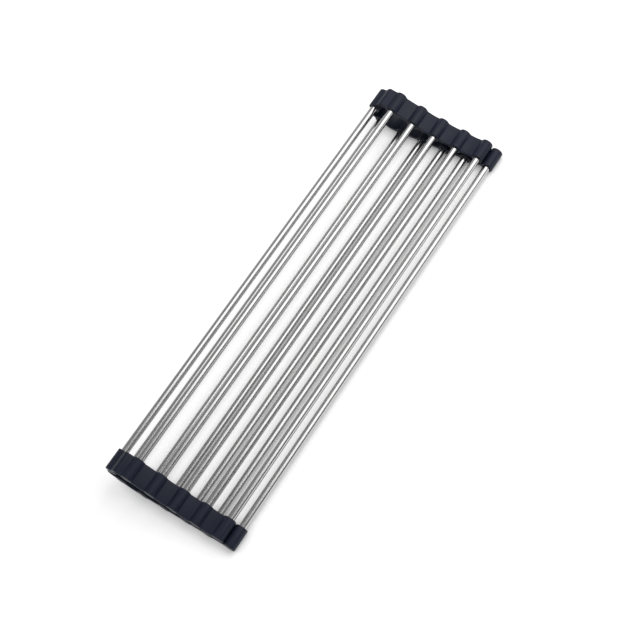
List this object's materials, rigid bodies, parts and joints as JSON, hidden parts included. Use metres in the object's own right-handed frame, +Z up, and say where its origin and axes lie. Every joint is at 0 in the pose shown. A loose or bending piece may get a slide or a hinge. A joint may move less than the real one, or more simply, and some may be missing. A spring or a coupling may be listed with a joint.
{
  "type": "roll up dish drying rack",
  "caption": "Folding mat of parallel steel bars joined by two flexible silicone side strips, for draining dishes over a sink, shown folded in half.",
  "frame": {"origin": "centre of the bounding box's bottom face, on the surface that the lower layer lies on", "axes": "+X towards the two free ends, away from the fold; +Y along the bars; +Z up"},
  "size_m": [0.1377, 0.45, 0.0423],
  "materials": {
    "silicone": "matte moulded silicone, dark slate blue",
    "steel": "polished stainless steel tube"
  },
  "bodies": {
    "bar_01": {"rod_01": "steel", "front_strip_link_01": "silicone", "rear_strip_link_01": "silicone"},
    "bar_02": {"rod_02": "steel", "front_strip_link_02": "silicone", "rear_strip_link_02": "silicone"},
    "bar_03": {"rod_03": "steel", "front_strip_link_03": "silicone", "rear_strip_link_03": "silicone"},
    "bar_04": {"rod_04": "steel", "front_strip_link_04": "silicone", "rear_strip_link_04": "silicone"},
    "bar_05": {"rod_05": "steel", "front_strip_link_05": "silicone", "rear_strip_link_05": "silicone"},
    "bar_06": {"rod_06": "steel", "front_strip_link_06": "silicone", "rear_strip_link_06": "silicone"},
    "bar_07": {"rod_07": "steel", "front_strip_link_07": "silicone", "rear_strip_link_07": "silicone"},
    "bar_08": {"rod_08": "steel", "front_strip_link_08": "silicone", "rear_strip_link_08": "silicone"},
    "bar_09": {"rod_09": "steel", "front_strip_link_09": "silicone", "rear_strip_link_09": "silicone"},
    "bar_10": {"rod_10": "steel", "front_strip_link_10": "silicone", "rear_strip_link_10": "silicone"},
    "bar_11": {"rod_11": "steel", "front_strip_link_11": "silicone", "rear_strip_link_11": "silicone"},
    "bar_12": {"rod_12": "steel", "front_strip_link_12": "silicone", "rear_strip_link_12": "silicone"}
  },
  "joints": [
    {"name": "hinge_05_06", "type": "hinge", "parent": "bar_05", "child": "bar_06", "pos_m": [-0.04677, 0, 0.00735], "axis": [0, -1, 0], "range_deg": [0, 31.5]},
    {"name": "hinge_06_07", "type": "hinge", "parent": "bar_06", "child": "bar_07", "pos_m": [-0.06724, 0, 0.01989], "axis": [0, -1, 0], "range_deg": [0, 96.5]},
    {"name": "hinge_07_08", "type": "hinge", "parent": "bar_07", "child": "bar_08", "pos_m": [-0.05246, 0, 0.0388], "axis": [0, -1, 0], "range_deg": [0, 73.03]},
    {"name": "hinge_08_09", "type": "hinge", "parent": "bar_08", "child": "bar_09", "pos_m": [-0.03006, 0, 0.03019], "axis": [0, -1, 0], "range_deg": [-1, 0]},
    {"name": "hinge_09_10", "type": "hinge", "parent": "bar_09", "child": "bar_10", "pos_m": [-0.00751, 0, 0.02197], "axis": [0, -1, 0], "range_deg": [-5.5, 0]},
    {"name": "hinge_10_11", "type": "hinge", "parent": "bar_10", "child": "bar_11", "pos_m": [0.01572, 0, 0.01594], "axis": [0, -1, 0], "range_deg": [-6, 0]},
    {"name": "hinge_11_12", "type": "hinge", "parent": "bar_11", "child": "bar_12", "pos_m": [0.03945, 0, 0.01238], "axis": [0, -1, 0], "range_deg": [-6, 0]},
    {"name": "hinge_05_04", "type": "hinge", "parent": "bar_05", "child": "bar_04", "pos_m": [-0.02277, 0, 0.00735], "axis": [0, 1, 0], "range_deg": [0, 30]},
    {"name": "hinge_04_03", "type": "hinge", "parent": "bar_04", "child": "bar_03", "pos_m": [0.00123, 0, 0.00735], "axis": [0, 1, 0], "range_deg": [0, 30]},
    {"name": "hinge_03_02", "type": "hinge", "parent": "bar_03", "child": "bar_02", "pos_m": [0.02523, 0, 0.00735], "axis": [0, 1, 0], "range_deg": [0, 30]},
    {"name": "hinge_02_01", "type": "hinge", "parent": "bar_02", "child": "bar_01", "pos_m": [0.04923, 0, 0.00735], "axis": [0, 1, 0], "range_deg": [0, 30]}
  ],
  "couplings": [
    {"joint": "hinge_05_06", "follows": "hinge_06_07", "ratio": 0.32642},
    {"joint": "hinge_07_08", "follows": "hinge_06_07", "ratio": 0.75683},
    {"joint": "hinge_08_09", "follows": "hinge_06_07", "ratio": -0.010362},
    {"joint": "hinge_09_10", "follows": "hinge_06_07", "ratio": -0.056994},
    {"joint": "hinge_10_11", "follows": "hinge_06_07", "ratio": -0.062176},
    {"joint": "hinge_11_12", "follows": "hinge_06_07", "ratio": -0.062176}
  ]
}
